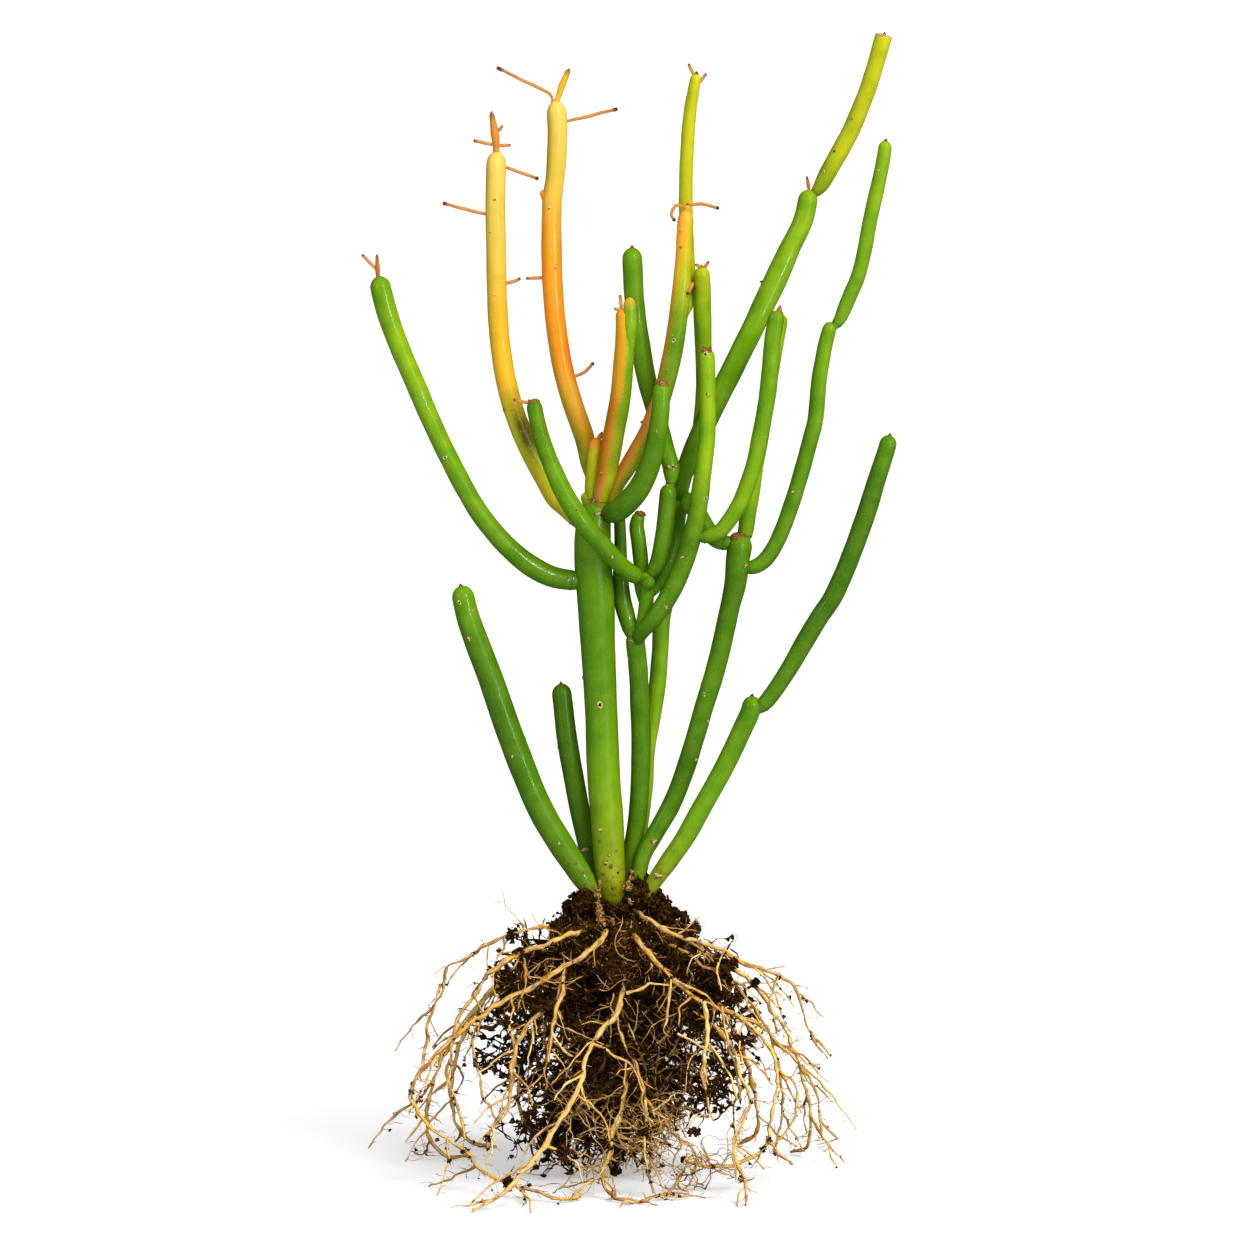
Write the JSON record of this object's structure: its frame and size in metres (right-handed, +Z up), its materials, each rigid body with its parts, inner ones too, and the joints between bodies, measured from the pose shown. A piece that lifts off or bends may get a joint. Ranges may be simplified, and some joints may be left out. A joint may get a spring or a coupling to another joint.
{
  "type": "bare-root pencil cactus",
  "caption": "Bare-root pencil cactus: smooth leafless branching stems in green, yellow and orange rising from a soil clod that stands on its own spread roots.",
  "frame": {"origin": "on the floor, in the flat foot of the soil clod, under the main stem", "axes": "+Z up along the stems, +X to the viewer's right, -Y towards the viewer's side"},
  "size_m": [0.1865, 0.1629, 0.4016],
  "materials": {
    "stem_green": "satin",
    "shoot_green": "satin",
    "shoot_yellow": "satin",
    "shoot_orange": "satin",
    "shoot_bronze": "satin",
    "root": "matte",
    "soil": "matte"
  },
  "bodies": {
    "root": {"trunk": "stem_green", "branch_low_left": "stem_green", "branch_front": "stem_green", "stem_second": "stem_green", "twig_left": "stem_green", "branch_knuckle": "stem_green", "twig_upright": "stem_green", "branch_post": "stem_green", "branch_dark_tip": "stem_green", "branch_link_back": "stem_green", "branch_arching": "stem_green", "stem_third": "stem_green", "branch_behind": "stem_green", "stem_fourth": "stem_green", "branch_right": "stem_green", "stem_right": "stem_green", "branch_far_right": "stem_green", "stem_left": "stem_green", "stem_small": "stem_green", "shoot_short": "shoot_green", "branch_crossing": "shoot_green", "branch_top": "shoot_green", "branch_leaning": "shoot_green", "branch_red_bud": "shoot_green", "shoot_thin": "shoot_green", "branch_link_left": "shoot_green", "branch_slim": "shoot_green", "branch_right_tip": "shoot_green", "branch_yellow": "shoot_yellow", "branch_orange": "shoot_orange", "branch_edged": "shoot_orange", "branch_bronze": "shoot_bronze", "root_left_outer": "root", "root_left_middle": "root", "root_left_high": "root", "root_front": "root", "root_front_left": "root", "root_right_outer": "root", "root_right_spur": "root", "root_right_high": "root", "root_right_middle": "root", "root_floor_loop": "root", "root_back_left": "root", "root_back_middle_left": "root", "root_back_middle": "root", "root_back_middle_right": "root", "root_back_right": "root", "root_side_left": "root", "soil": "soil"}
  },
  "joints": []
}
